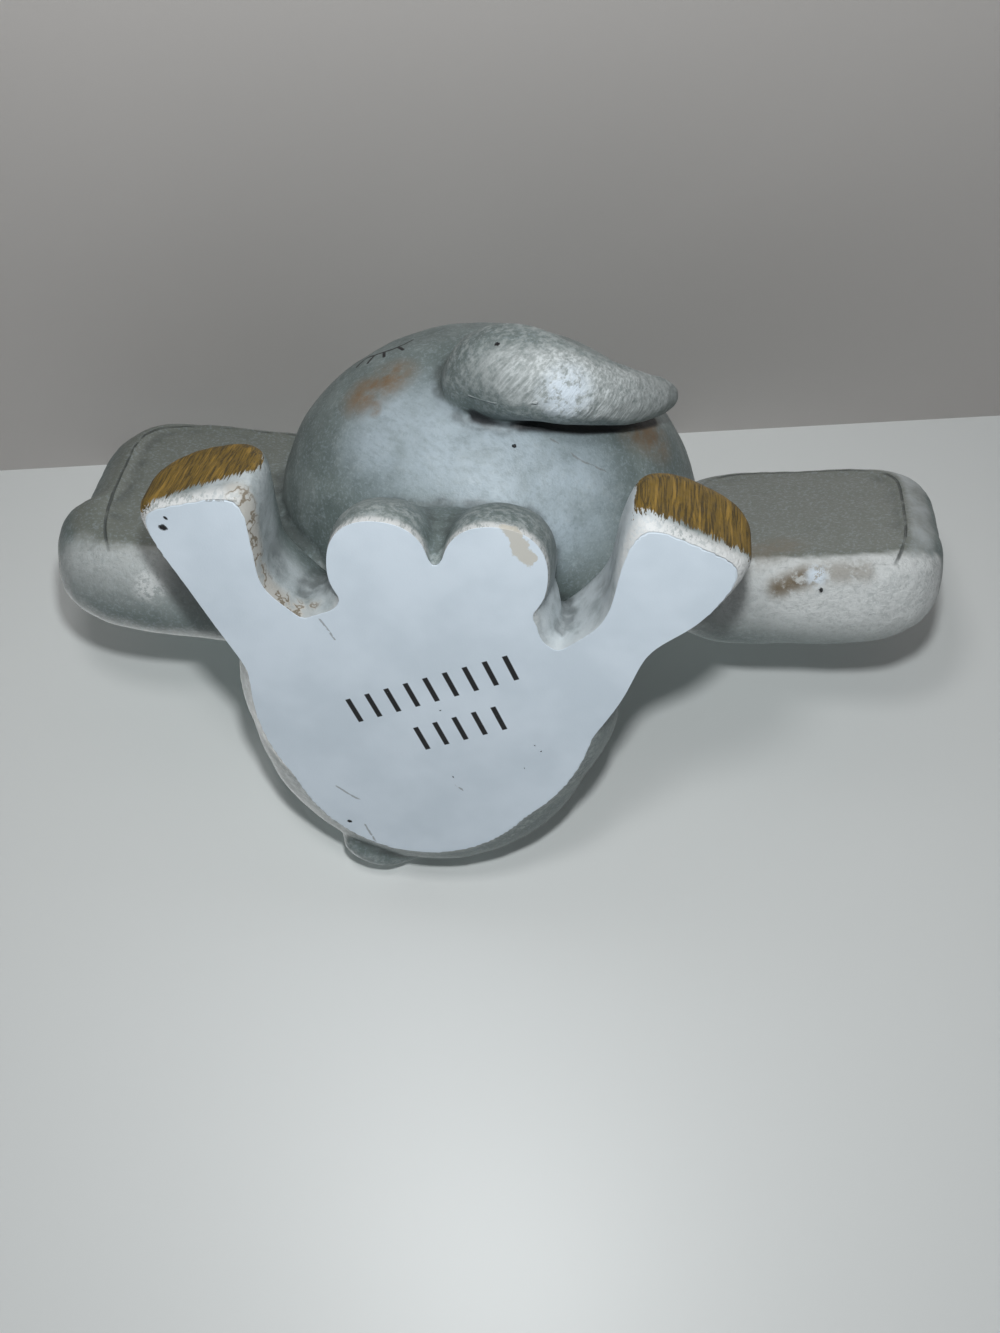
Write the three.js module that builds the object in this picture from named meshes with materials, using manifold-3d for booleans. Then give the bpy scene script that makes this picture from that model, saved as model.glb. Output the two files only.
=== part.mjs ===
// A seated baby elephant with a big round head, cast solid in resin as one piece and painted.
// Millimetres, +Z up. The elephant sits on its flat underside and faces -Y, so +X is its left.
import * as THREE from 'three';
import { mergeVertices } from 'three/addons/utils/BufferGeometryUtils.js';
import Module from 'manifold-3d';

// Head: a ball that is wider than it is deep or high
const HEAD = { centre: [3.3, -3.2, 42], radii: [31.9, 27.4, 27.6] };

// Belly: an egg, steep at its sides, that narrows upward into the head; lean is its backward
// shift for each mm of height
const BELLY = {
  centre: [-1.1, 4.7, 9], radii: [26.9, 29.6, 14], frontRadius: 18, lowRadius: 18.4, lean: 0.3,
};

// Seat: the round bottom, which swells out behind the flat underside and falls back to the head
const SEAT = { centre: [-1.8, 10, 9], radii: [25.4, 28.8, 21], frontRadius: 20, lowRadius: 13.4 };

// Chest: fills the space between the front legs, under the chin
const CHEST = { centre: [0.6, -8, 7], radii: [15.9, 14, 14] };

// Limbs: a path, with the half width, half height and squareness of the section along it, and
// of its lower half where the walls run down straighter. A size that is the same all along is a
// single number.

// Hind legs: narrow at the ankle, splayed out to a broad blunt sole that rounds under at its foot
const LEFT_LEG = {
  path: [[14, 6, 6], [19.7, -3, 6], [24.6, -11, 7], [28.8, -18.5, 7.4], [32.3, -27.6, 7.2]],
  width: [8, 6.4, 4.1, 7, 10.1],
  height: [10, 9.8, 9.6, 9.4, 8.8],
  squareness: [3, 3, 3, 2.6, 2.2],
  lowSquareness: 4.5,
};
const RIGHT_LEG = {
  path: [[-13, 6, 6], [-19, -3, 6], [-25.3, -11, 6.8], [-28.2, -18, 7.4], [-30.7, -26.2, 7.8]],
  width: [8, 6.7, 5, 6.5, 9.6],
  height: [10, 9.8, 9.4, 9.5, 9.6],
  squareness: [3, 3, 3, 2.6, 2.2],
  lowSquareness: 4.5,
};

// Front legs: two short columns side by side, leaning back into the chest
const LEFT_PAW = {
  path: [[7.7, -19.6, -9], [7.8, -19.8, 0], [7.9, -17, 7], [8, -11.5, 14], [8, -5, 20]],
  width: 7.3,
  height: 7.6,
  squareness: 2.3,
};
const RIGHT_PAW = {
  path: [[-6.8, -19, -9], [-6.9, -19.2, 0], [-7, -16.4, 7], [-7.2, -11, 14], [-7.4, -5, 20]],
  width: 7.1,
  height: 7.4,
  squareness: 2.3,
};

// Trunk: leaves the middle of the face, dips, and sweeps up across the elephant's left cheek
const TRUNK = {
  path: [
    [2, -20, 37], [3.4, -30, 32.6], [9.8, -33.4, 27.2], [17, -32, 27.2], [24, -28.8, 32.6], [28.6, -25.8, 40],
  ],
  width: [7.6, 6.9, 5.8, 4.7, 3.7, 3],
  height: [7.8, 7.2, 6, 4.7, 3.7, 3],
  squareness: 2.2,
};

// Tail: a stubby curl that lies against the back of the rump
const TAIL = {
  path: [[3, 35.4, 15], [-1.4, 37.4, 10], [-7.4, 36.8, 5.4], [-13, 33.4, 3.6]],
  width: 2.9,
  height: 3,
  squareness: 2,
};

// Ears: thick cushions with a flat front face inside a low rim. Squareness rounds their outline
// and plump their edges; lean tips the top back, sweep brings the tip forward and tilt turns the
// outline on its face.
const LEFT_EAR = {
  centre: [51.2, -1.3, 43.3], halfWidth: 21.2, halfHeight: 20.8, front: 7.4, back: 13,
  squareness: 4.4, lean: 11.7, sweep: -10.7, tilt: -4,
};
const RIGHT_EAR = {
  centre: [-36, 3.6, 39.6], halfWidth: 24.2, halfHeight: 24, front: 10.8, back: 12,
  squareness: 4.2, lean: 5.4, sweep: 4, tilt: 6.5,
};
const EAR_PLUMP = 2.7;

// Face of an ear: flat, at this share of the cushion's thickness in front of its middle. It
// reaches these shares of the ear's half width and half height to its sides, top and bottom,
// so that it leaves a rim at the top and sides and runs out over the lower edge.
const EAR_FACE = { level: 0.68, side: 0.74, top: 0.8, bottom: 1.1, step: 0.05 };

// Segments round and along each form: a coarse mesh that still reads as round
const FINE = [40, 26];
const MEDIUM = [24, 18];
const CUSHION = [32, 20];
const SMALL = [20, 12];

// How round the ends of the limbs are: soles are nearly flat
const SOLE_ROUNDNESS = 0.16;
const TIP_ROUNDNESS = 0.6;

// A limb steeper than this is upright, and its section is turned to face forward
const UPRIGHT_SLOPE = 0.7;

// Block under the ground that takes the underside off flat
const GROUND_CUT = { side: 200, depth: 60 };

const wasm = await Module();
wasm.setup();

// Closed ball mesh whose vertices are moved by place(direction)
function shapedBall([around, along], place) {
  const geometry = new THREE.SphereGeometry(1, around, along);
  geometry.deleteAttribute('normal');
  geometry.deleteAttribute('uv');
  const ball = mergeVertices(geometry);
  const position = ball.getAttribute('position');
  const direction = new THREE.Vector3();
  for (let i = 0; i < position.count; i++) {
    direction.fromBufferAttribute(position, i).normalize();
    const point = place(direction);
    position.setXYZ(i, point.x, point.y, point.z);
  }
  return ball;
}

function solid(geometry) {
  const vertProperties = new Float32Array(geometry.getAttribute('position').array);
  const triVerts = new Uint32Array(geometry.getIndex().array);
  return new wasm.Manifold(new wasm.Mesh({ numProp: 3, vertProperties, triVerts }));
}

function toGeometry(manifold) {
  const mesh = manifold.getMesh();
  const geometry = new THREE.BufferGeometry();
  geometry.setAttribute('position', new THREE.BufferAttribute(mesh.vertProperties, 3));
  geometry.setIndex(new THREE.BufferAttribute(mesh.triVerts, 1));
  geometry.computeVertexNormals();
  return geometry;
}

// Size at t (0 to 1) along a limb: one number, or a smooth run through evenly spaced numbers
function sizeAlong(size, t) {
  if (typeof size === 'number') return size;
  const curve = new THREE.CatmullRomCurve3(size.map((value, i) => new THREE.Vector3(i, value, 0)));
  return curve.getPoint(t).y;
}

// The ball's pole axis is stood up along Z, then each axis is stretched to its radius
function egg({ centre, radii, frontRadius = radii[1], lowRadius = radii[2], lean = 0 }, segments) {
  return shapedBall(segments, (d) => {
    const depth = d.z > 0 ? frontRadius : radii[1];
    const rise = d.y * (d.y < 0 ? lowRadius : radii[2]);
    return new THREE.Vector3(
      centre[0] + d.x * radii[0],
      centre[1] - d.z * depth + rise * lean,
      centre[2] + rise,
    );
  });
}

// Distance from the middle to the edge of a rounded square, along the direction (across, up)
function superCircle(across, up, squareness) {
  return (Math.abs(across) ** squareness + Math.abs(up) ** squareness) ** (-1 / squareness);
}

// A limb follows a curve with an oval section; the smaller the roundness, the flatter its ends
function limb(sizes, segments, roundness) {
  const { path, width, height, squareness, lowSquareness = squareness } = sizes;
  const points = path.map((point) => new THREE.Vector3(...point));
  const curve = new THREE.CatmullRomCurve3(points, false, 'centripetal');
  const upright = Math.abs(curve.getTangent(0.5).z) > UPRIGHT_SLOPE;
  const reference = upright ? new THREE.Vector3(0, -1, 0) : new THREE.Vector3(0, 0, 1);
  return shapedBall(segments, (d) => {
    const t = THREE.MathUtils.clamp((1 - d.y) / 2, 0, 1);
    const tangent = curve.getTangent(t);
    const side = new THREE.Vector3().crossVectors(tangent, reference).normalize();
    const up = new THREE.Vector3().crossVectors(side, tangent);
    const reach = Math.hypot(d.x, d.z);
    if (reach === 0) return curve.getPoint(t);
    const corners = d.z > 0 ? lowSquareness : squareness;
    const edge = superCircle(d.x / reach, d.z / reach, sizeAlong(corners, t));
    const swell = edge * reach ** roundness / reach;
    return curve.getPoint(t)
      .addScaledVector(side, d.x * swell * sizeAlong(width, t))
      .addScaledVector(up, -d.z * swell * sizeAlong(height, t));
  });
}

// The ear's own axes: across, up, and forward out of its flat face
function ear({ centre, halfWidth, halfHeight, front, back, squareness, lean, sweep, tilt }) {
  const [leanTurn, tiltTurn, sweepTurn] = [-lean, -tilt, sweep].map(THREE.MathUtils.degToRad);
  const turn = new THREE.Euler(leanTurn, tiltTurn, sweepTurn, 'ZYX');
  return shapedBall(CUSHION, (d) => {
    const reach = Math.hypot(d.x, d.z);
    const across = reach > 0 ? d.x / reach : 1;
    const up = reach > 0 ? -d.z / reach : 0;
    const edge = superCircle(across / halfWidth, up / halfHeight, squareness);
    const spread = reach ** (2 / EAR_PLUMP);
    const faceHeight = (up > 0 ? EAR_FACE.top : EAR_FACE.bottom) * halfHeight;
    const faceEdge = superCircle(across / (EAR_FACE.side * halfWidth), up / faceHeight, squareness);
    const rim = THREE.MathUtils.smoothstep(
      spread * edge / faceEdge, 1 - EAR_FACE.step, 1 + EAR_FACE.step,
    );
    const crown = Math.abs(d.y) ** (2 / EAR_PLUMP) * (d.y > 0 ? front : -back);
    const level = Math.min(crown, EAR_FACE.level * front);
    return new THREE.Vector3(across * edge * spread, -level - rim * (crown - level), up * edge * spread)
      .applyEuler(turn)
      .add(new THREE.Vector3(...centre));
  });
}

function elephantGeometry() {
  const forms = [
    egg(HEAD, FINE),
    egg(BELLY, MEDIUM),
    egg(SEAT, MEDIUM),
    egg(CHEST, SMALL),
    limb(LEFT_LEG, MEDIUM, SOLE_ROUNDNESS),
    limb(RIGHT_LEG, MEDIUM, SOLE_ROUNDNESS),
    limb(LEFT_PAW, MEDIUM, TIP_ROUNDNESS),
    limb(RIGHT_PAW, MEDIUM, TIP_ROUNDNESS),
    limb(TRUNK, MEDIUM, TIP_ROUNDNESS),
    limb(TAIL, SMALL, TIP_ROUNDNESS),
    ear(LEFT_EAR),
    ear(RIGHT_EAR),
  ];
  const whole = forms.map(solid).reduce((joined, form) => joined.add(form));
  const ground = new THREE.BoxGeometry(GROUND_CUT.side, GROUND_CUT.side, GROUND_CUT.depth);
  ground.deleteAttribute('normal');
  ground.deleteAttribute('uv');
  ground.translate(0, 0, -GROUND_CUT.depth / 2);
  return toGeometry(whole.subtract(solid(mergeVertices(ground))));
}

const paint = new THREE.MeshStandardMaterial({ color: 0x9aa5a8, roughness: 0.65, metalness: 0 });
const elephant = new THREE.Mesh(elephantGeometry(), paint);
elephant.name = 'elephant';

const figurine = new THREE.Group();
figurine.add(elephant);

export default figurine;
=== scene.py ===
# Seated baby elephant figurine, lying on its back with its flat underside towards the camera.
# Metres, in the frame of the solid: +Z up out of the underside, the elephant faces -Y.
import math
import bpy
import numpy as np
from mathutils import Euler, Matrix, Vector


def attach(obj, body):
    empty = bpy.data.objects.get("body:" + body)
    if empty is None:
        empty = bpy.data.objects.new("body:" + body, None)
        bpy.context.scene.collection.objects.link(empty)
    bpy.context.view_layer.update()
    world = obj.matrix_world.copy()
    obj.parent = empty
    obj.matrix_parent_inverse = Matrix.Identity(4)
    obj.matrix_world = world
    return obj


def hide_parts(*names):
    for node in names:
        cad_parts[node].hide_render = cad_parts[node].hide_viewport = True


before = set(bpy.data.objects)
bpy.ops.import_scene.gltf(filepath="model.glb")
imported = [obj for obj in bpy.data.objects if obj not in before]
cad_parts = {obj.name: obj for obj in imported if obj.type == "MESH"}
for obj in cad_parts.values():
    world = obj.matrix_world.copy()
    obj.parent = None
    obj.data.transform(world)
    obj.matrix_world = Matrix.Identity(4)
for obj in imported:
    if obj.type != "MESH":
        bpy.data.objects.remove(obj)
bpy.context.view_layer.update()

bpy.ops.object.select_all(action="DESELECT")


# Head: a big round ball of cast resin, wider than it is deep or high. It is modelled with the
# rest of the figurine in one lump of clay, so here it starts as a ball that the others grow from.
MM = 0.001
HEAD_CENTRE = (3.3, -3.2, 42)
HEAD_RADII = (31.9, 27.4, 27.6)


def ball(centre, radii):
    """A round lump, stretched along the three axes."""
    bpy.ops.mesh.primitive_uv_sphere_add(
        segments=96, ring_count=64, radius=1,
        location=Vector(centre) * MM, scale=Vector(radii) * MM,
    )
    bpy.ops.object.transform_apply(location=True, rotation=True, scale=True)
    return bpy.context.object


head = ball(HEAD_CENTRE, HEAD_RADII)


# Belly, seat and chest: the pear-shaped body under the head. The belly leans back into it, the
# round seat swells out behind the flat underside, and the chest fills in between the front paws.
RING_POINTS = 72


def ring(place, turn, width, height, squareness=2, front=None, low_squareness=None):
    """One section of a form: a circle, squared, stretched and turned to its place.
    Width and height are half sizes. The half below the middle may have its own height, front,
    and its own squareness."""
    bpy.ops.mesh.primitive_circle_add(
        vertices=RING_POINTS, radius=1, location=Vector(place) * MM, rotation=turn.to_euler()
    )
    section = bpy.context.object
    for corner in section.data.vertices:
        across, up = corner.co.x, corner.co.y
        power = low_squareness if low_squareness and up < 0 else squareness
        edge = (abs(across) ** power + abs(up) ** power) ** (-1 / power)
        tall = front if front is not None and up < 0 else height
        corner.co = Vector((across * width, up * tall, 0)) * edge * MM
    bpy.ops.object.transform_apply(location=True, rotation=True, scale=True)
    return section


def skin(rings):
    """Bridges a row of sections one to the next, closes both ends and gives the form."""
    form = rings[0]
    for section in rings[1:]:
        bpy.ops.object.select_all(action="DESELECT")
        section.select_set(True)
        form.select_set(True)
        bpy.context.view_layer.objects.active = form
        bpy.ops.object.join()
        newest = len(form.data.vertices) - RING_POINTS
        for face in form.data.polygons:
            face.select = False
        for corner in form.data.vertices:
            corner.select = False
        for edge in form.data.edges:
            ends = [end - newest for end in edge.vertices]
            in_last_two = min(ends) >= -RING_POINTS
            edge.select = in_last_two and (min(ends) >= 0) == (max(ends) >= 0)
        bpy.ops.object.mode_set(mode="EDIT")
        bpy.ops.mesh.select_mode(type="EDGE")
        bpy.ops.mesh.bridge_edge_loops()
        bpy.ops.object.mode_set(mode="OBJECT")
    bpy.ops.object.mode_set(mode="EDIT")
    bpy.ops.mesh.select_mode(type="VERT")
    bpy.ops.mesh.select_all(action="SELECT")
    bpy.ops.mesh.fill_holes(sides=0)
    bpy.ops.mesh.normals_make_consistent(inside=False)
    bpy.ops.object.mode_set(mode="OBJECT")
    return form


def swell(count):
    """Evenly turned stations from pole to pole: height from -1 to 1, and the radius there."""
    turns = [math.pi * (i + 0.5) / count for i in range(count)]
    return [(-math.cos(turn), math.sin(turn)) for turn in turns]


def egg(centre, radii, front, low, lean):
    """A body lump with a flatter front, its own depth below its middle, and a backward lean."""
    rings = []
    for height, radius in swell(28):
        rise = height * (low if height < 0 else radii[2])
        place = (centre[0], centre[1] + rise * lean, centre[2] + rise)
        rings.append(
            ring(place, Matrix(), radii[0] * radius, radii[1] * radius, front=front * radius)
        )
    return skin(rings)


belly = egg((-1.1, 4.7, 9), (26.9, 29.6, 14), front=18, low=18.4, lean=0.3)
seat = egg((-1.8, 10, 9), (25.4, 28.8, 21), front=20, low=13.4, lean=0)
chest = ball((0.6, -8, 7), (15.9, 14, 14))


# Hind legs: thick rolls that come round from the belly, narrow at the ankle and splay out to a
# broad blunt sole. Their undersides are taken off flat with the rest of the underside.
SOLE_ROUNDNESS = 0.16


def between(values, share):
    """A smooth run through evenly spaced values, at a share of its length."""
    values = [np.array(value, float) for value in values]
    values = [2 * values[0] - values[1], *values, 2 * values[-1] - values[-2]]
    spot = share * (len(values) - 3)
    first = min(int(spot), len(values) - 4)
    a, b, c, d = values[first:first + 4]
    t = spot - first
    return 0.5 * (
        2 * b + (c - a) * t + (2 * a - 5 * b + 4 * c - d) * t ** 2
        + (3 * b - a - 3 * c + d) * t ** 3
    )


def facing(direction, up=(0, 0, 1)):
    """The turn that looks along a direction with its own up kept upward."""
    forward = Vector(direction).normalized()
    side = Vector(up).cross(forward).normalized()
    return Matrix((side, forward.cross(side), forward)).transposed()


def limb(path, width, height, squareness, roundness, up=(0, 0, 1), low_squareness=None):
    """A form whose sections follow a path; the lower the roundness, the blunter its ends."""
    rings = []
    for height_share, radius in swell(32):
        share = (1 + height_share) / 2
        ahead = between(path, min(share + 0.01, 1)) - between(path, max(share - 0.01, 0))
        size = radius ** roundness
        rings.append(
            ring(
                between(path, share), facing(ahead, up),
                between(width, share) * size, between(height, share) * size,
                between(squareness, share), low_squareness=low_squareness,
            )
        )
    return skin(rings)


left_leg = limb(
    path=[(14, 6, 6), (19.7, -3, 6), (24.6, -11, 7), (28.8, -18.5, 7.4), (32.3, -27.6, 7.2)],
    width=[8, 6.4, 4.1, 7, 10.1],
    height=[10, 9.8, 9.6, 9.4, 8.8],
    squareness=[3, 3, 3, 2.6, 2.2],
    low_squareness=4.5,
    roundness=SOLE_ROUNDNESS,
)
right_leg = limb(
    path=[(-13, 6, 6), (-19, -3, 6), (-25.3, -11, 6.8), (-28.2, -18, 7.4), (-30.7, -26.2, 7.8)],
    width=[8, 6.7, 5, 6.5, 9.6],
    height=[10, 9.8, 9.4, 9.5, 9.6],
    squareness=[3, 3, 3, 2.6, 2.2],
    low_squareness=4.5,
    roundness=SOLE_ROUNDNESS,
)


# Front paws: two short columns side by side, a narrow groove apart, that lean back into the
# chest. They run on below the ground line, where the underside is cut through them.
TIP_ROUNDNESS = 0.6

left_paw = limb(
    path=[(7.7, -19.6, -9), (7.8, -19.8, 0), (7.9, -17, 7), (8, -11.5, 14), (8, -5, 20)],
    width=[7.3, 7.3], height=[7.6, 7.6], squareness=[2.3, 2.3],
    roundness=TIP_ROUNDNESS, up=(0, -1, 0),
)
right_paw = limb(
    path=[(-6.8, -19, -9), (-6.9, -19.2, 0), (-7, -16.4, 7), (-7.2, -11, 14), (-7.4, -5, 20)],
    width=[7.1, 7.1], height=[7.4, 7.4], squareness=[2.3, 2.3],
    roundness=TIP_ROUNDNESS, up=(0, -1, 0),
)


# Trunk and tail: the trunk leaves the middle of the face, dips and sweeps up across the left
# cheek, where it is fused to the head. The tail is a stubby curl pressed on the rump.
trunk = limb(
    path=[
        (2, -20, 37), (3.4, -30, 32.6), (9.8, -33.4, 27.2),
        (17, -32, 27.2), (24, -28.8, 32.6), (28.6, -25.8, 40),
    ],
    width=[7.6, 6.9, 5.8, 4.7, 3.7, 3],
    height=[7.8, 7.2, 6, 4.7, 3.7, 3],
    squareness=[2.2, 2.2],
    roundness=0.4,
)
tail = limb(
    path=[(3, 35.4, 15), (-1.4, 37.4, 10), (-7.4, 36.8, 5.4), (-13, 33.4, 3.6)],
    width=[2.9, 2.9], height=[3, 3], squareness=[2, 2],
    roundness=TIP_ROUNDNESS,
)


# Ears: thick cushions, nearly square in outline, with a flat face inside a low rim at the top
# and sides. The face runs out over the lower edge, and a thin line is scored along the rim.
# The outer wall is drawn in at its waist, and bulges out again below it.
EAR_PLUMP = 2.7
LEFT_EAR = {
    "centre": (51.2, -1.3, 43.3), "half_width": 21.2, "half_height": 20.8,
    "front": 7.4, "back": 13, "squareness": 4.4, "turn": (-11.7, 4, -10.7),
    "outer": 1, "waist": 0.3, "bulge": 0,
}
RIGHT_EAR = {
    "centre": (-36, 3.6, 39.6), "half_width": 24.2, "half_height": 24,
    "front": 10.8, "back": 12, "squareness": 4.2, "turn": (-5.4, -6.5, 4),
    "outer": -1, "waist": 1, "bulge": 1.4,
}
FACE_LEVEL = 0.68
FACE_SIDE = 0.74
FACE_TOP = 0.8
FACE_BOTTOM = 1.1
FACE_STEP = 0.05


def ear_turn(ear):
    return Euler([math.radians(angle) for angle in ear["turn"]], "XYZ").to_matrix()


def soft(value, low, high):
    """0 below low and 1 above high, with a smooth step between."""
    share = np.clip((value - low) / (high - low), 0, 1)
    return share * share * (3 - 2 * share)


def ear_axes(places, ear):
    """Places by the ear's own axes: across, back and up from its middle."""
    return (places - ear["centre"]) @ np.array(ear_turn(ear))


def face_share(local, ear):
    """Share of the way from the middle of an ear's face to the line along its rim."""
    power = ear["squareness"]
    tall = np.where(local[:, 2] > 0, FACE_TOP, FACE_BOTTOM) * ear["half_height"]
    across = abs(local[:, 0] / (FACE_SIDE * ear["half_width"])) ** power
    return (across + abs(local[:, 2] / tall) ** power) ** (1 / power)


def cushion(ear):
    """An ear, built in sections from its back to its front, with its face pressed flat."""
    turn = ear_turn(ear)
    rings = []
    for depth, radius in swell(64):
        spread = radius ** (2 / EAR_PLUMP)
        forward = math.copysign(abs(depth) ** (2 / EAR_PLUMP), depth)
        forward *= ear["front"] if depth > 0 else ear["back"]
        rings.append(
            ring(
                Vector(ear["centre"]) + turn @ Vector((0, -forward, 0)),
                turn @ Matrix.Rotation(math.radians(90), 3, "X"),
                ear["half_width"] * spread, ear["half_height"] * spread, ear["squareness"],
            )
        )
    form = skin(rings)
    local = ear_axes(np.array([corner.co for corner in form.data.vertices]) / MM, ear)
    level = FACE_LEVEL * ear["front"]
    rim = soft(face_share(local, ear), 1 - FACE_STEP, 1 + FACE_STEP)
    sunk = np.maximum(-local[:, 1] - level, 0) * (1 - rim)
    outer = soft(local[:, 0] / ear["half_width"] * ear["outer"], 0.55, 0.9)
    above = soft(local[:, 2] / ear["half_height"], -0.42, -0.28)
    moved_out = ear["outer"] * outer * (ear["bulge"] * (1 - above) - ear["waist"] * above)
    for corner, depth, aside in zip(form.data.vertices, sunk, moved_out):
        corner.co += turn @ Vector((aside, depth, 0)) * MM
    return form


left_ear = cushion(LEFT_EAR)
right_ear = cushion(RIGHT_EAR)


# The casting: all of the forms are one lump of resin. They are joined and skinned over, the
# creases between them are smoothed, and the underside is ground off flat on the ground line.
VOXEL = 0.65 * MM
FORMS = [
    head, belly, seat, chest, left_leg, right_leg, left_paw, right_paw,
    trunk, tail, left_ear, right_ear,
]
# Where the outer wall of each hind leg runs into the rump, which is rubbed smooth
HIPS = [(-25.5, 0.5), (24.5, -0.5)]
HIP_REACH = 8
HIP_HEIGHT = 16 * MM
# What stands less than this above the ground line is ground off with the underside
GROUND_SLACK = 0.11 * MM


def finish_with(modifier, **settings):
    """Adds a modifier to the active object and applies it."""
    bpy.ops.object.modifier_add(type=modifier)
    added = bpy.context.object.modifiers[-1]
    for setting, value in settings.items():
        setattr(added, setting, value)
    bpy.ops.object.modifier_apply(modifier=added.name)


bpy.ops.object.select_all(action="DESELECT")
for form in FORMS:
    form.select_set(True)
bpy.context.view_layer.objects.active = head
bpy.ops.object.join()
casting = bpy.context.object
casting.name = "painted_elephant"
finish_with("REMESH", mode="VOXEL", voxel_size=VOXEL)
finish_with("SMOOTH", factor=0.5, iterations=3)
hips = casting.vertex_groups.new(name="hips")
for corner in casting.data.vertices:
    for hip in HIPS:
        reach = math.dist(corner.co.xy / MM, hip)
        if reach < HIP_REACH and corner.co.z < HIP_HEIGHT:
            hips.add([corner.index], 1 - reach / HIP_REACH, "REPLACE")
finish_with("SMOOTH", factor=0.5, iterations=30, vertex_group="hips")
bpy.ops.object.mode_set(mode="EDIT")
bpy.ops.mesh.select_all(action="SELECT")
bpy.ops.mesh.bisect(plane_co=(0, 0, 0), plane_no=(0, 0, 1), use_fill=True, clear_inner=True)
bpy.ops.mesh.select_all(action="SELECT")
bpy.ops.mesh.quads_convert_to_tris()
bpy.ops.object.mode_set(mode="OBJECT")
for corner in casting.data.vertices:
    if corner.co.z < GROUND_SLACK:
        corner.co.z = 0


# Surface: where each point of the casting lies, in millimetres, which way it faces, and how
# much it stands out of its surroundings. The clay was smoothed by hand, so it is never quite
# even, and the parts finished with a dry brush are rough.
def surface(mesh):
    """Place of each point in millimetres, and its outward direction."""
    places = np.empty(len(mesh.vertices) * 3)
    mesh.vertices.foreach_get("co", places)
    outward = np.empty(len(mesh.vertices) * 3)
    mesh.vertices.foreach_get("normal", outward)
    return places.reshape(-1, 3) / MM, outward.reshape(-1, 3)


def from_line(places, *corners, radii=None):
    """Distance of each point from a line through the corners, in millimetres, or from the
    skin of a roll round that line, where the roll's radius at each corner is given."""
    radii = radii or [0] * len(corners)
    nearest = np.full(len(places), 1e3)
    for start, end, near, far in zip(corners, corners[1:], radii, radii[1:]):
        start, run = np.array(start, float), np.subtract(end, start)
        share = np.clip((places - start) @ run / (run @ run), 0, 1)
        gap = np.linalg.norm(places - start - share[:, None] * run, axis=1)
        nearest = np.minimum(nearest, gap - near - share * (far - near))
    return nearest


TRUNK_LINE = [
    (2, -26, 34), (5, -31.5, 30.5), (10, -33.4, 27.2), (17, -32, 27.2), (24, -28.8, 32.6),
    (28.6, -25.8, 40),
]
TRUNK_RADII = [7.2, 6.8, 5.9, 4.7, 3.7, 3]
BELOW = np.array((0, -0.5, -0.87))
FLAT_HEIGHT = 0.001 * MM


def on_head(places):
    """How far each point belongs to the head."""
    return 1 - soft(np.linalg.norm((places - HEAD_CENTRE) / HEAD_RADII, axis=1), 1.02, 1.07)


def on_ears(places):
    """How far each point belongs to the left ear, and to the right."""
    right = soft(-places[:, 0], 27, 33) * soft(places[:, 2], 12, 14)
    return soft(places[:, 0], 30, 36), right


def brushed_and_highlit(places, outward):
    """The underside of the trunk and of the ears, where a dry brush went over and where they face
    the lamp below: dry-brushed paint and painted highlight in one.
    """
    trunk = 1 - soft(from_line(places, *TRUNK_LINE, radii=TRUNK_RADII), 0.8, 1.5)
    slope = np.interp(places[:, 0], (10, 24), (0.6, 0.2))
    trunk = trunk * (1 - on_head(places)) * soft(outward @ BELOW - slope, 0, 0.3)
    left, right = on_ears(places)
    left = left * soft(-outward[:, 2], 0.12, 0.42)
    right = 0.6 * right * soft(-outward[:, 2], 0.3, 0.7)
    ears = np.maximum(left, right)
    return trunk, ears * (1 - soft(places[:, 1], -4, 6))


places, outward = surface(casting.data)
brushed = np.maximum(*brushed_and_highlit(places, outward))

for name, weights in (
    ("even_hand", soft(places[:, 2], 0.4, 3)),
    ("dry_brush", brushed * soft(places[:, 2], 0.4, 3)),
):
    group = casting.vertex_groups.new(name=name)
    for index, weight in enumerate(weights):
        group.add([index], float(weight), "REPLACE")

for name, group, spacing, depth in (
    ("hand_smoothing", "even_hand", 7, 0.5),
    ("brush_dabs", "dry_brush", 1.6, 0.35),
):
    unevenness = bpy.data.textures.new(name, "CLOUDS")
    unevenness.noise_scale = spacing * MM
    finish_with(
        "DISPLACE", texture=unevenness, strength=depth * MM, mid_level=0.5,
        texture_coords="LOCAL", vertex_group=group,
    )
bpy.ops.object.mode_set(mode="EDIT")
bpy.ops.mesh.select_all(action="SELECT")
bpy.ops.mesh.normals_make_consistent(inside=False)
bpy.ops.object.mode_set(mode="OBJECT")
bpy.ops.object.shade_smooth_by_angle(angle=math.radians(60))
for face in casting.data.polygons:
    heights = [casting.data.vertices[corner].co.z for corner in face.vertices]
    if max(heights) < FLAT_HEIGHT:
        face.use_smooth = False


# Brush marks and painted light: how strongly each finish and each painted highlight lies on each
# point of the casting. The paint reads them.
places, outward = surface(casting.data)
edges = np.empty(len(casting.data.edges) * 2, int)
casting.data.edges.foreach_get("vertices", edges)
starts, ends = edges.reshape(-1, 2).T
neighbours = np.bincount(edges, minlength=len(places)) + 1


def evened(values, rounds):
    """Values averaged with their neighbours on the mesh, so many times over."""
    for _ in range(rounds):
        total = values.copy()
        for column in range(values.shape[1]):
            total[:, column] += np.bincount(starts, values[ends, column], len(values))
            total[:, column] += np.bincount(ends, values[starts, column], len(values))
        values = total / neighbours[:, None]
    return values


def mark(name, values):
    """Keeps a value for each point on the casting, for the paint."""
    casting.data.attributes.new(name, "FLOAT", "POINT").data.foreach_set(
        "value", np.asarray(values, np.float32)
    )


relief = ((places - evened(places, 14)) * outward).sum(axis=1)
mark("raised", soft(relief, 0.03, 0.22) * (1 - np.maximum(*on_ears(places))))
mark("hollow", soft(-relief, 0.02, 0.2))

# Pale dry brush under the head, laid where it faces the lamp below, so partly painted highlight
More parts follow.
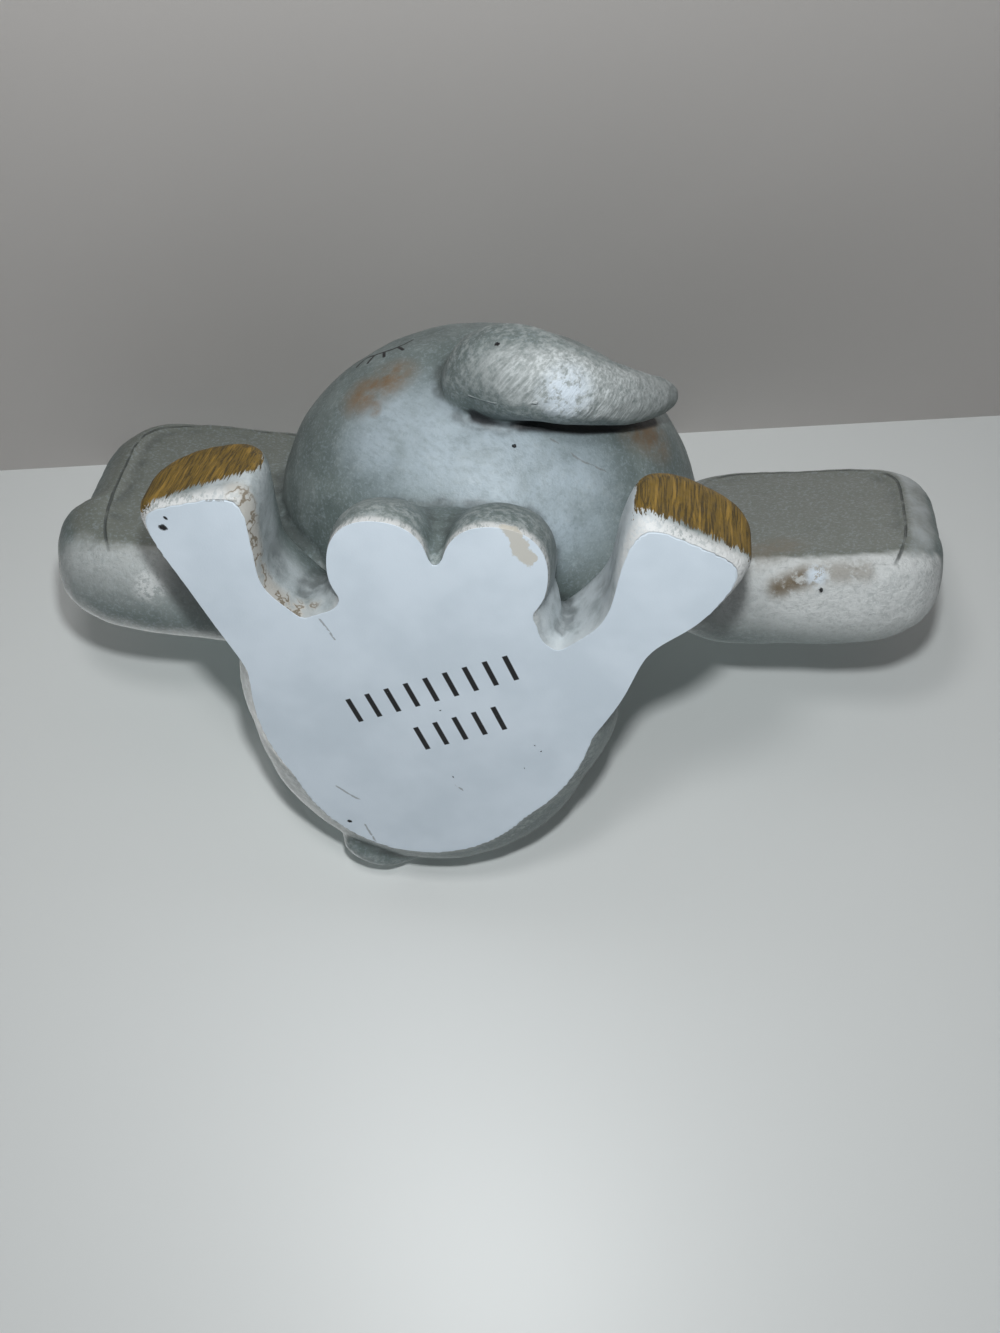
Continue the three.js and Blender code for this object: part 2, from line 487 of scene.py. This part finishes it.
chin_brush_and_highlight = 1 - soft(from_line(places, (-9, -25, 27.5), (14, -19, 21.5)), 3, 15)
mark("chin_brush_and_highlight", on_head(places) * chin_brush_and_highlight * soft(outward @ BELOW, 0.5, 0.9))
# Dry brush on the undersides of the trunk and ears, partly painted highlight where they face the
# lamp
trunk_brush_and_highlight, ear_brush_and_highlight = brushed_and_highlit(places, outward)
mark("trunk_brush_and_highlight", trunk_brush_and_highlight)
mark("ear_brush_and_highlight", ear_brush_and_highlight)

# The scored line and the flat face of each ear
score = np.full(len(places), 9.0)
faces = np.zeros(len(places))
for ear, here in zip((LEFT_EAR, RIGHT_EAR), on_ears(places)):
    local = ear_axes(places, ear)
    line = (face_share(local, ear) - 1) * FACE_SIDE * ear["half_width"]
    forward = here * soft(-outward @ np.array(ear_turn(ear))[:, 1], 0.6, 0.85)
    score = np.where(forward > 0.05, line, score)
    faces = np.maximum(faces, forward)
mark("score", score)
mark("ear_rim", on_ears(places)[0] * faces * soft(score, 0.4, 1.2))
mark("ear_face", faces)

# Soles: ochre from a ragged line above the ground up, white and worn below it
SOLES = [
    {
        "middle": (32.3, -27.6, 7.2), "outward": (0.36, -0.93, 0),
        "edge": [(22, 4.4), (24.5, 2.6), (28, 2), (31, 2.6), (38, 2.2)], "bluntness": 0.2,
    },
    {
        "middle": (-30.7, -26.2, 7.8), "outward": (-0.29, -0.96, 0),
        "edge": [
            (-39, 0.4), (-36.5, 0.6), (-34.2, 1.6), (-30.8, 3.2), (-26.7, 3.8), (-24, 5.2),
            (-22, 6.5),
        ],
        "bluntness": 0.4,
    },
]
sole = np.full(len(places), -9.0)
foot = np.zeros(len(places))
for side in SOLES:
    reach = np.linalg.norm(places - side["middle"], axis=1)
    above = places[:, 2] - np.interp(places[:, 0], *zip(*side["edge"]))
    blunt = (outward @ side["outward"] - side["bluntness"]) * 5
    sole = np.maximum(sole, np.minimum(np.minimum(above, blunt), 17 - reach))
    foot = np.maximum(foot, 1 - soft(reach, 10, 15))
mark("sole", np.where(places[:, 1] < -18, sole, -9))

# Worn rims: the bare white edge round the soles and the paws, thinner along the body
paws = 1 - soft(from_line(places, (-7, -21, 2), (8, -21, 2)), 8, 12)
rim_height = 0.5 + np.maximum(foot, 0.7 * paws)
rim = 1 - soft(places[:, 2], 0.5 * rim_height, 1.6 * rim_height)
paw_groove = from_line(places, (0.5, -20, 0), (-0.2, -21.5, 4), (-0.3, -20, 12))
rim = rim * soft(paw_groove, 1.2, 3)
mark("rim", rim * (0.15 + 0.85 * np.maximum(foot, paws)))

# Walls of the notches between the hind legs and the paws, painted lighter: partly the walls' own
# paler paint, partly painted light where the lamp reaches into them; the one by the right leg is
# chipped along the ground
RIGHT_NOTCH = [(-23, -26, 3), (-21.5, -16, 3), (-18.5, -10.5, 3), (-14, -10.5, 3)]
LEFT_NOTCH = [(22.3, -27, 3), (22.7, -18, 3), (19.5, -11, 3), (15.5, -9.5, 3)]
LEFT_LEG_WALL = [(22.5, -27, 9), (22.7, -18, 9), (19.5, -11, 8)]
notch = from_line(places, *RIGHT_NOTCH)
for wall in (LEFT_NOTCH, LEFT_LEG_WALL):
    notch = np.minimum(notch, from_line(places, *wall))
mark("notch_paint_and_light", (1 - soft(notch, 4, 9)) * np.where(places[:, 0] > 0, 1, 0.7))
by_right_leg = 1 - soft(from_line(places, *RIGHT_NOTCH[:3]), 3, 4.5)
mark("chipped", by_right_leg * (1 - soft(places[:, 2], 1.6, 3.4)))

# Blush on the cheeks, and brown stains under the left ear
cheeks = np.minimum(
    from_line(places, (-14.5, -24.4, 34.4), (-11, -26.8, 35.6)),
    from_line(places, (24, -22.6, 35), (27, -20.5, 36.5)),
)
drip = from_line(places, (-12.6, -24.6, 33), (-12.3, -24, 30.6))
blush = np.maximum(1 - soft(cheeks, 0.5, 5.5), 0.8 * (1 - soft(drip, 0.3, 1.5)))
mark("blush", on_head(places) * blush)
STAINS = [
    {"start": (46.6, -5.5, 23.8), "end": (50, -7.5, 24), "core": 0.4, "reach": 2.6, "strength": 1},
    {"start": (52, -8.4, 24), "end": (58, -9.4, 24), "core": 0.4, "reach": 2.4, "strength": 0.55},
    {"start": (42, -8, 28), "end": (47, -8.5, 29.5), "core": 0.5, "reach": 5, "strength": 0.5},
]
stain = np.zeros(len(places))
for patch in STAINS:
    gap = from_line(places, patch["start"], patch["end"])
    stained = patch["strength"] * (1 - soft(gap, patch["core"], patch["reach"]))
    stain = np.maximum(stain, stained)
mark("stain", stain)


# Paint: satin grey-green, dry-brushed with a bluish white, ochre soles drawn down with a stiff
# brush, orange blush, closed eyes in thin black line, and a bare white underside. The dry brush on
# the chin, trunk and ears is partly painted highlight, the notch walls carry painted light, and a
# painted shadow lies under the trunk.
GREY = (0.185, 0.225, 0.22, 1)
DEEP_GREY = (0.13, 0.165, 0.16, 1)
PALE_BLUE = (0.42, 0.495, 0.55, 1)
SILVER = (0.66, 0.7, 0.71, 1)
TRUNK_GREY = (0.37, 0.4, 0.4, 1)
EAR_SILVER = (0.72, 0.74, 0.74, 1)
LIGHT_GREY = (0.57, 0.62, 0.65, 1)
EAR_GREY = (0.165, 0.18, 0.158, 1)
CREASE = (0.05, 0.06, 0.058, 1)
OCHRE = (0.19, 0.115, 0.014, 1)
OCHRE_DARK = (0.065, 0.042, 0.009, 1)
OCHRE_BRIGHT = (0.37, 0.22, 0.035, 1)
BARE_WHITE = (0.745, 0.83, 0.92, 1)
SHADED_WHITE = (0.67, 0.755, 0.84, 1)
WORN_WHITE = (0.7, 0.71, 0.71, 1)
CHIPPED_WHITE = (0.52, 0.51, 0.48, 1)
BLUSH = (0.21, 0.135, 0.07, 1)
BROWN = (0.19, 0.15, 0.1, 1)
BEIGE = (0.6, 0.56, 0.48, 1)
CRACK_GREY = (0.2, 0.2, 0.19, 1)
INK = (0.012, 0.012, 0.014, 1)

paint = bpy.data.materials.new("hand_painted_resin")
paint.use_nodes = True
tree = paint.node_tree
shader = tree.nodes["Principled BSDF"]


def feed(socket, value):
    """Gives a socket a number, a colour, a vector or another node's output."""
    if isinstance(value, bpy.types.NodeSocket):
        tree.links.new(value, socket)
    else:
        socket.default_value = value


def reckon(operation, *values):
    """One step of arithmetic on numbers or on other nodes' outputs."""
    node = tree.nodes.new("ShaderNodeMath")
    node.operation = operation
    for socket, value in zip(node.inputs, values):
        feed(socket, value)
    return node.outputs[0]


def vector(operation, *values):
    """The same for places and directions."""
    node = tree.nodes.new("ShaderNodeVectorMath")
    node.operation = operation
    for socket, value in zip(node.inputs, values):
        feed(socket, value)
    gives_number = operation in ("DOT_PRODUCT", "LENGTH", "DISTANCE")
    return node.outputs["Value" if gives_number else "Vector"]


def fade(value, low, high, start=0.0, end=1.0):
    """From start at low to end at high, with a smooth step between."""
    node = tree.nodes.new("ShaderNodeMapRange")
    node.interpolation_type = "SMOOTHSTEP"
    for socket, given in zip(node.inputs, (value, low, high, start, end)):
        feed(socket, given)
    return node.outputs[0]


def gather(operation, values):
    """All of the values reckoned together, one after the other."""
    total = values[0]
    for value in values[1:]:
        total = reckon(operation, total, value)
    return total


def over(under, coat, *covers):
    """One colour laid over another as far as the product of its covers."""
    node = tree.nodes.new("ShaderNodeMix")
    node.data_type = "RGBA"
    feed(node.inputs[0], gather("MULTIPLY", covers))
    feed(node.inputs[6], under)
    feed(node.inputs[7], coat)
    return node.outputs[2]


where = tree.nodes.new("ShaderNodeTexCoord").outputs["Object"]
where = vector("MULTIPLY", where, (1000, 1000, 1000))


def grain(size, detail=3, roughness=0.55, stretch=(1, 1, 1), turn=(0, 0, 0)):
    """Cloudy grain of about so many millimetres, drawn out along the axes that stretch gives."""
    turned = tree.nodes.new("ShaderNodeMapping")
    turned.vector_type = "TEXTURE"
    feed(turned.inputs["Vector"], where)
    turned.inputs["Rotation"].default_value = [math.radians(angle) for angle in turn]
    turned.inputs["Scale"].default_value = [size * long for long in stretch]
    noise = tree.nodes.new("ShaderNodeTexNoise")
    feed(noise.inputs["Vector"], turned.outputs[0])
    noise.inputs["Scale"].default_value = 1
    noise.inputs["Detail"].default_value = detail
    noise.inputs["Roughness"].default_value = roughness
    return noise.outputs["Fac"]


def kept_mark(name):
    """A mark's strength, a finish or painted light, as it was kept on the casting."""
    node = tree.nodes.new("ShaderNodeAttribute")
    node.attribute_name = name
    return node.outputs["Fac"]


def to_line(spot, corners):
    """Distance from a line through the corners, in millimetres."""
    lengths = []
    for start, end in zip(corners, corners[1:]):
        run = Vector(end) - Vector(start)
        gap = vector("SUBTRACT", spot, start)
        share = reckon("MAXIMUM", vector("DOT_PRODUCT", gap, run / run.length_squared), 0.0)
        node = tree.nodes.new("ShaderNodeVectorMath")
        node.operation = "SCALE"
        feed(node.inputs[0], run)
        feed(node.inputs["Scale"], reckon("MINIMUM", share, 1.0))
        lengths.append(vector("LENGTH", vector("SUBTRACT", gap, node.outputs["Vector"])))
    return gather("MINIMUM", lengths)


def drawn(spot, lines, width):
    """Thin drawn lines, 1 on them and 0 beside them."""
    nearest = gather("MINIMUM", [to_line(spot, corners) for corners in lines])
    return fade(nearest, width * 0.35, width * 0.65, 1.0, 0.0)


# Ground coat and dry brush, with painted highlight on the underside of the head and painted light
# on the walls of the notches
clouds = grain(9, 4, 0.6)
dabs = grain(1.1, 6, 0.72)
fine = grain(0.28, 3, 0.6)
slanted = grain(0.42, 4, 0.62, stretch=(7, 1, 1), turn=(0, 0, -55))
colour = over(GREY, DEEP_GREY, fade(clouds, 0.38, 0.6))
colour = over(colour, EAR_GREY, kept_mark("ear_face"))
colour = over(colour, LIGHT_GREY, kept_mark("ear_rim"), fade(grain(5, 3), 0.3, 0.7, 0.2, 0.6))
colour = over(colour, PALE_BLUE, fade(grain(0.5, 4, 0.7), 0.5, 0.62), 0.25)
# Pale blue under the head: dry brush and painted highlight in one
drawn_out = grain(0.7, 5, 0.7, stretch=(3, 1, 1), turn=(0, 40, 0))
colour = over(
    colour, PALE_BLUE, kept_mark("chin_brush_and_highlight"), fade(grain(6, 5, 0.6), 0.25, 0.6, 0.55, 1.0),
    fade(drawn_out, 0.34, 0.56, 0.72, 1.0),
)
# Lighter walls of the notches: their own paler paint and painted light
patches = fade(grain(3, 5, 0.6), 0.28, 0.55, 0.55, 1.0)
colour = over(colour, LIGHT_GREY, kept_mark("notch_paint_and_light"), patches)
colour = over(colour, SILVER, kept_mark("raised"), fade(dabs, 0.42, 0.64, 0.0, 0.35))
colour = over(colour, CREASE, kept_mark("hollow"), fade(grain(2.5, 3), 0.3, 0.6, 0.15, 0.6))

# Trunk: slanted strokes, whitest in a painted highlight in the middle of its underside, one bright
# white spot of painted highlight, and a ridge with a painted highlight along it
TRUNK_HIGHLIGHT_PLACE = (15, -34, 24)
HIGHLIGHT_BLOB_PLACE = (14.2, -34, 21.8)
SCAR_WIDTH = 0.5
SCAR = [(1.3, -30.4, 25.9), (4.9, -31, 23.4), (10.5, -32.6, 21.4)]
rubbed = reckon("ADD", reckon("MULTIPLY", dabs, 0.25), reckon("MULTIPLY", slanted, 0.75))
trunk_brush_and_highlight = kept_mark("trunk_brush_and_highlight")
colour = over(colour, TRUNK_GREY, trunk_brush_and_highlight, fade(dabs, 0.32, 0.5, 0.55, 1.0))
# Painted highlight: the strokes made whitest round the middle of the trunk's underside
trunk_highlight = fade(vector("DISTANCE", where, TRUNK_HIGHLIGHT_PLACE), 4, 13, 0.95, 0.4)
colour = over(colour, SILVER, trunk_brush_and_highlight, trunk_highlight, fade(rubbed, 0.42, 0.64))
colour = over(colour, GREY, trunk_brush_and_highlight, fade(rubbed, 0.36, 0.44, 0.3, 0.0))
# Painted highlight: a bright white spot on the trunk's underside
highlight_blob = fade(vector("DISTANCE", where, HIGHLIGHT_BLOB_PLACE), 1, 5, 1.0, 0.0)
colour = over(colour, BARE_WHITE, highlight_blob, fade(dabs, 0.4, 0.54, 0.1, 0.95))
# The ridge across the trunk: raised in the bump, with a painted highlight in silver along it
scar_ridge_and_highlight = drawn(where, [SCAR], SCAR_WIDTH)
colour = over(colour, SILVER, scar_ridge_and_highlight, 0.6)

# Undersides of the ears, dry-brushed silver and partly painted highlight where they face the lamp
# below, with a silvery mark on the right one whose bright spots are painted highlight
KNOCK_GLINT_PLACE = (-42.6, -1.2, 15.3)
ear_brush_and_highlight = kept_mark("ear_brush_and_highlight")
soft_dabs = grain(0.9, 6, 0.7)
colour = over(colour, EAR_SILVER, ear_brush_and_highlight, fade(soft_dabs, 0.34, 0.54, 0.72, 0.97))
colour = over(colour, GREY, ear_brush_and_highlight, fade(grain(0.8, 5, 0.7), 0.6, 0.7, 0.0, 0.22))
# Painted highlight: bright silver spots on the right ear
knock_glints = fade(vector("DISTANCE", where, KNOCK_GLINT_PLACE), 1, 3.6, 1.0, 0.0)
colour = over(colour, EAR_SILVER, knock_glints, fade(dabs, 0.44, 0.54, 0.1, 0.95))

# Scored line round the face of each ear
score_line = gather("MULTIPLY", [
    fade(reckon("ABSOLUTE", kept_mark("score")), 0.04, 0.26, 0.8, 0.0),
    kept_mark("ear_face"),
    fade(grain(5, 2), 0.35, 0.55, 0.2, 1.0),
])
colour = over(colour, CREASE, score_line)

# Blush and stains, with a white blotch in the stain under the left ear
BLOTCH_PLACE = (51.6, -8, 23.9)
colour = over(colour, BLUSH, kept_mark("blush"), fade(grain(3, 5, 0.65), 0.3, 0.62, 0.25, 0.95))
soaked = fade(grain(1.6, 5, 0.7), 0.34, 0.52, 0.25, 1.0)
colour = over(colour, BROWN, kept_mark("stain"), soaked)
blotch = fade(vector("DISTANCE", where, BLOTCH_PLACE), 0.5, 2.2, 1.0, 0.0)
colour = over(colour, BARE_WHITE, blotch, fade(dabs, 0.44, 0.52, 0.0, 0.95))

# Painted shadow: a black line on the cheek along the deep crease under the trunk
UNDERCUT_SHADOW = [
    (2, -27, 26.6), (6, -26.2, 27.5), (8.2, -25.6, 27.5), (11.6, -25.3, 28.1),
    (16.4, -24.7, 29.8), (20.5, -23.8, 32.4), (24.7, -22.5, 36.9), (26.4, -21.8, 39.5),
]
colour = over(colour, INK, fade(to_line(where, UNDERCUT_SHADOW), 0.7, 1.5, 0.92, 0.0))

# Worn white rims, chipped by the right leg, and ochre soles
rim_wear = kept_mark("rim")
worn = fade(grain(0.5, 5, 0.7, stretch=(1, 1, 3)), 0.4, 0.52, 0.35, 1.0)
colour = over(colour, WORN_WHITE, rim_wear, worn)
colour = over(colour, BROWN, rim_wear, fade(grain(1.4, 5, 0.75), 0.62, 0.7, 0.0, 0.6))
chipping = kept_mark("chipped")
chips = grain(2.4, 3, 0.55)
colour = over(colour, CHIPPED_WHITE, chipping, fade(chips, 0.4, 0.46, 0.35, 1.0))
chip_edges = reckon("ABSOLUTE", reckon("SUBTRACT", chips, 0.5))
colour = over(colour, BROWN, chipping, fade(chip_edges, 0.01, 0.04, 0.85, 0.0))
streaks = grain(0.26, 4, 0.65, stretch=(1, 1, 22))
broad_streaks = grain(0.7, 4, 0.65, stretch=(1, 1, 16))
ochre = over(OCHRE, OCHRE_DARK, fade(streaks, 0.42, 0.6, 0.0, 1.0))
ochre = over(ochre, OCHRE_BRIGHT, fade(broad_streaks, 0.52, 0.7, 0.0, 0.8))
raggedness = reckon("MULTIPLY", reckon("SUBTRACT", streaks, 0.5), 6.0)
ochre_cover = fade(reckon("ADD", kept_mark("sole"), raggedness), -0.15, 0.25)
colour = over(colour, ochre, ochre_cover)

# Underside: bare and ground flat
height = tree.nodes.new("ShaderNodeSeparateXYZ")
feed(height.inputs[0], where)
ground = fade(height.outputs["Z"], 0.05, 0.16, 1.0, 0.0)
bare = over(BARE_WHITE, SHADED_WHITE, fade(grain(14, 3), 0.35, 0.65))
colour = over(colour, bare, ground)

# Rows of plain strokes in black where the underside was stamped
ROW_TURN = math.radians(25.8)
row = tree.nodes.new("ShaderNodeMapping")
feed(row.inputs["Vector"], where)
row.inputs["Rotation"].default_value = (0, 0, ROW_TURN)
along_row = tree.nodes.new("ShaderNodeSeparateXYZ")
feed(along_row.inputs[0], row.outputs[0])
ROWS = [{"start": -12.9, "count": 9, "middle": 0}, {"start": -6.2, "count": 5, "middle": 7.5}]
STROKE_PITCH = 2.9
STROKE_WIDTH = 0.75
STROKE_HEIGHT = 4.2
STROKE_BLUR = 0.06


def within(distance, half):
    """1 up to a half size from the middle and 0 past it, with a slightly blurred edge."""
    return fade(distance, half - STROKE_BLUR, half + STROKE_BLUR, 1.0, 0.0)


strokes = []
for line in ROWS:
    along = reckon("SUBTRACT", along_row.outputs["X"], line["start"])
    run = reckon("DIVIDE", along, STROKE_PITCH)
    beat = reckon("ABSOLUTE", reckon("SUBTRACT", reckon("FRACT", run), 0.5))
    tall = reckon("ABSOLUTE", reckon("SUBTRACT", along_row.outputs["Y"], line["middle"]))
    strokes.append(gather("MULTIPLY", [
        within(reckon("MULTIPLY", beat, STROKE_PITCH), STROKE_WIDTH / 2),
        within(tall, STROKE_HEIGHT / 2),
        reckon("GREATER_THAN", run, 0.0),
        reckon("LESS_THAN", run, float(line["count"])),
    ]))
thin_spots = fade(grain(0.35, 4, 0.7), 0.66, 0.74, 1.0, 0.2)
colour = over(colour, INK, gather("MAXIMUM", strokes), thin_spots, ground)

# Hairline cracks and scuffs of the underside and the chin
CRACK_WIDTH = 0.3
CRACKS = [
    [(-13.4, 19.5, 0), (-11.3, 21.1, 0), (-9.9, 21.9, 0)],
    [(3.8, 17, 0), (4.9, 17.8, 0)],
    [(-9.2, 26.9, 0), (-7.8, 29.9, 0)],
    [(-14.5, -10, 0), (-12.6, -6.9, 0)],
    [(-28.2, -26.7, 0), (-23.8, -27.2, 0)],
    [(12.7, -24.4, 26.7), (16.8, -22, 25.8), (20.4, -20.3, 26.4)],
]
shake = vector("SUBTRACT", grain(1.2, 3), (0.5, 0.5, 0.5))
shaken = vector("ADD", where, vector("MULTIPLY", shake, (1.2, 1.2, 1.2)))
colour = over(colour, CRACK_GREY, drawn(shaken, CRACKS, CRACK_WIDTH), 0.6)

# Air-bubble holes and the chip of beige resin by the left paw. The first eight holes are on the
# underside, then one is on the chin, one on the trunk and one on the left ear.
PINPRICK = 0.15
HOLES = [
    ((-34, -22, 0), 0.55), ((-33.5, -23.5, 0), 0.22), ((-11.5, 26.5, 0), 0.35),
    ((1.5, 3.5, 0), PINPRICK), ((14.5, 8, 0), PINPRICK), ((15.5, 9, 0), PINPRICK),
    ((13.5, 12.5, 0), PINPRICK), ((3.5, 15.5, 0), PINPRICK),
    ((7.8, -24, 24.6), 0.3), ((4.6, -37.7, 26.6), 0.5), ((52.4, -6.3, 22.9), 0.4),
]
PAW_CHIP = [(9, -27.4, 0), (10.4, -25.2, 0), (11, -23.4, 0), (12, -22.6, 0)]
hole = gather("MAXIMUM", [
    fade(vector("DISTANCE", shaken, middle), radius * 0.5, radius, 1.0, 0.0)
    for middle, radius in HOLES
])
colour = over(colour, INK, hole)
from_chip = reckon("ADD", to_line(shaken, PAW_CHIP), reckon("MULTIPLY", grain(1.4, 4), 2.2))
colour = over(colour, BEIGE, fade(from_chip, 2.0, 2.3, 0.8, 0.0))

# Closed eyes: a hanging curve with four lashes, the same on both sides of the face
def on_brow(across, height):
    """A point on the head, across from its middle and at a height."""
    depth = 1 - (across / HEAD_RADII[0]) ** 2 - ((height - HEAD_CENTRE[2]) / HEAD_RADII[2]) ** 2
    return (across, HEAD_CENTRE[1] - HEAD_RADII[1] * math.sqrt(depth), height)


LASH_WIDTH = 0.5
LID = [
    on_brow(*spot)
    for spot in ((12.8, 45.8), (13.9, 44.7), (15.5, 44), (17, 44), (18.2, 44.4), (19.6, 45.2))
]
LASHES = [
    [on_brow(*spot) for spot in ends]
    for ends in (
        ((14.7, 44.2), (13.7, 42.4)), ((16.7, 43.9), (16.4, 42)),
        ((18.2, 44.4), (18.8, 42.2)), ((19.6, 45.2), (20.7, 43.4)),
    )
]
parts = tree.nodes.new("ShaderNodeSeparateXYZ")
feed(parts.inputs[0], where)
folded = tree.nodes.new("ShaderNodeCombineXYZ")
from_middle = reckon("SUBTRACT", parts.outputs["X"], HEAD_CENTRE[0])
feed(folded.inputs["X"], reckon("ABSOLUTE", from_middle))
feed(folded.inputs["Y"], parts.outputs["Y"])
feed(folded.inputs["Z"], parts.outputs["Z"])
colour = over(colour, INK, drawn(folded.outputs[0], [LID, *LASHES], LASH_WIDTH))
feed(shader.inputs["Base Color"], colour)

# Sheen, and the relief that is too fine for the mesh
gloss = fade(dabs, 0.3, 0.7, 0.42, 0.58)
gloss = reckon("ADD", gloss, reckon("MULTIPLY", ochre_cover, 0.25))
feed(shader.inputs["Roughness"], reckon("ADD", gloss, reckon("MULTIPLY", ground, 0.12)))
rough = gather("ADD", [
    reckon("MULTIPLY", trunk_brush_and_highlight, reckon("MULTIPLY", rubbed, 0.7)),
    reckon("MULTIPLY", fine, 0.12),
    reckon("MULTIPLY", ear_brush_and_highlight, soft_dabs),
    reckon("MULTIPLY", scar_ridge_and_highlight, 0.5),
    reckon("MULTIPLY", grain(4, 3), 0.5),
])
rough = reckon("MULTIPLY", rough, reckon("SUBTRACT", 1.0, ground))
rough = reckon("SUBTRACT", rough, reckon("MULTIPLY", hole, 1.5))
rough = reckon("SUBTRACT", rough, reckon("MULTIPLY", score_line, 0.8))
rough = reckon("ADD", rough, reckon("MULTIPLY", fine, 0.05))
bump = tree.nodes.new("ShaderNodeBump")
bump.inputs["Distance"].default_value = 0.35 * MM
bump.inputs["Strength"].default_value = 1
feed(bump.inputs["Height"], rough)
feed(shader.inputs["Normal"], bump.outputs[0])

casting.data.materials.clear()
casting.data.materials.append(paint)
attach(casting, "root")
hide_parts("elephant")


# Camera: close in front of the figurine and below it, looking up at its underside.
CAMERA_PLACE = (18.77, -120.37, -142.21)
CAMERA_TURN = (39, 3, 5.7)
LENS = 37.8

rise, yaw, roll = (math.radians(angle) for angle in CAMERA_TURN)
to_lens = (
    Matrix.Rotation(roll, 3, "Z") @ Matrix.Rotation(yaw, 3, "Y") @ Matrix.Rotation(rise, 3, "X")
)
camera_axes = Matrix((to_lens[0], -to_lens[1], -to_lens[2])).transposed().to_4x4()
bpy.ops.object.camera_add()
camera = bpy.context.object
camera.data.lens = LENS
camera.data.clip_start = 0.01
camera.matrix_world = Matrix.Translation(Vector(CAMERA_PLACE) * MM) @ camera_axes
bpy.context.scene.camera = camera


# Shelf and wall: the figurine lies back on a plain pale shelf that meets a plain wall.
SHELF_POINT = Vector((0, 43, 4)) * MM
SHELF_TILT = math.radians(22.6)
SHELF_NORMAL = Vector((0, -math.cos(SHELF_TILT), -math.sin(SHELF_TILT)))
WALL_POINT = Vector((1.2, 8.1, 83)) * MM
WALL_NORMAL = Vector((0.181, 0.378, -0.908)).normalized()
SHEET_SIZE = 3
SHELF_WHITE = (0.8, 0.815, 0.81)
WALL_GREY = (0.5, 0.475, 0.46)


def pale(name, colour, roughness):
    """A plain matt surface that is only there from its front."""
    material = bpy.data.materials.new(name)
    material.use_nodes = True
    nodes, links = material.node_tree.nodes, material.node_tree.links
    shader = nodes["Principled BSDF"]
    shader.inputs["Base Color"].default_value = (*colour, 1)
    shader.inputs["Roughness"].default_value = roughness
    clear = nodes.new("ShaderNodeBsdfTransparent")
    side = nodes.new("ShaderNodeNewGeometry")
    choice = nodes.new("ShaderNodeMixShader")
    links.new(side.outputs["Backfacing"], choice.inputs[0])
    links.new(shader.outputs[0], choice.inputs[1])
    links.new(clear.outputs[0], choice.inputs[2])
    links.new(choice.outputs[0], nodes["Material Output"].inputs["Surface"])
    return material


def sheet(name, point, normal, material):
    """A flat sheet through a point, facing along its normal."""
    turn = normal.to_track_quat("Z", "Y").to_euler()
    bpy.ops.mesh.primitive_plane_add(size=SHEET_SIZE, location=point, rotation=turn)
    flat = bpy.context.object
    flat.name = name
    bpy.ops.object.transform_apply(location=True, rotation=True, scale=True)
    flat.data.materials.append(material)
    flat.visible_shadow = False
    return flat


def cut_off(flat, point, normal):
    """Takes away what lies beyond the other sheet, where the two meet."""
    bpy.ops.object.select_all(action="DESELECT")
    flat.select_set(True)
    bpy.context.view_layer.objects.active = flat
    bpy.ops.object.mode_set(mode="EDIT")
    bpy.ops.mesh.select_all(action="SELECT")
    bpy.ops.mesh.bisect(plane_co=point, plane_no=normal, clear_inner=True)
    bpy.ops.object.mode_set(mode="OBJECT")


shelf = sheet("shelf", SHELF_POINT, SHELF_NORMAL, pale("shelf_paint", SHELF_WHITE, 0.42))
wall = sheet("wall", WALL_POINT, WALL_NORMAL, pale("wall_paint", WALL_GREY, 0.8))
cut_off(shelf, WALL_POINT, WALL_NORMAL)
cut_off(wall, SHELF_POINT, SHELF_NORMAL)


# Light: a small round lamp close beside the lens, a weaker soft one above it, two weak ones
# overhead and behind, and a dim room.
KEY_PLACE = Vector((3, 34, 0)) * MM
KEY_RADIUS = 6 * MM
KEY_POWER = 0.87
FRONT_PLACE = Vector((-25, 75, 0)) * MM
ROOM_COLOUR = (0.8, 0.82, 0.84, 1)
ROOM_STRENGTH = 0.11

bpy.ops.object.light_add(type="POINT", location=camera.matrix_world @ KEY_PLACE)
key = bpy.context.object
key.name = "key_lamp"
key.data.shadow_soft_size = KEY_RADIUS
key.data.energy = KEY_POWER
key.data.color = (0.95, 0.99, 1)


def lamp(name, place, target, size, power):
    """A square lamp turned to its target."""
    bpy.ops.object.light_add(type="AREA", location=place)
    light = bpy.context.object
    light.name = name
    light.data.size = size
    light.data.energy = power
    light.rotation_euler = (Vector(target) - Vector(place)).to_track_quat("-Z", "Y").to_euler()


lamp("front_lamp", camera.matrix_world @ FRONT_PLACE, (0, 0, 0.03), 0.03, 0.08)
lamp("top_lamp", (0.1, -0.1, 0.5), (0, 0, 0.04), 0.4, 0.6)
lamp("back_lamp", (-0.25, 0.4, 0.25), (0, 0, 0.04), 0.35, 2.2)
room = bpy.data.worlds.new("room")
room.use_nodes = True
background = room.node_tree.nodes["Background"]
background.inputs["Color"].default_value = ROOM_COLOUR
background.inputs["Strength"].default_value = ROOM_STRENGTH
bpy.context.scene.world = room
bpy.context.scene.view_settings.view_transform = "Standard"
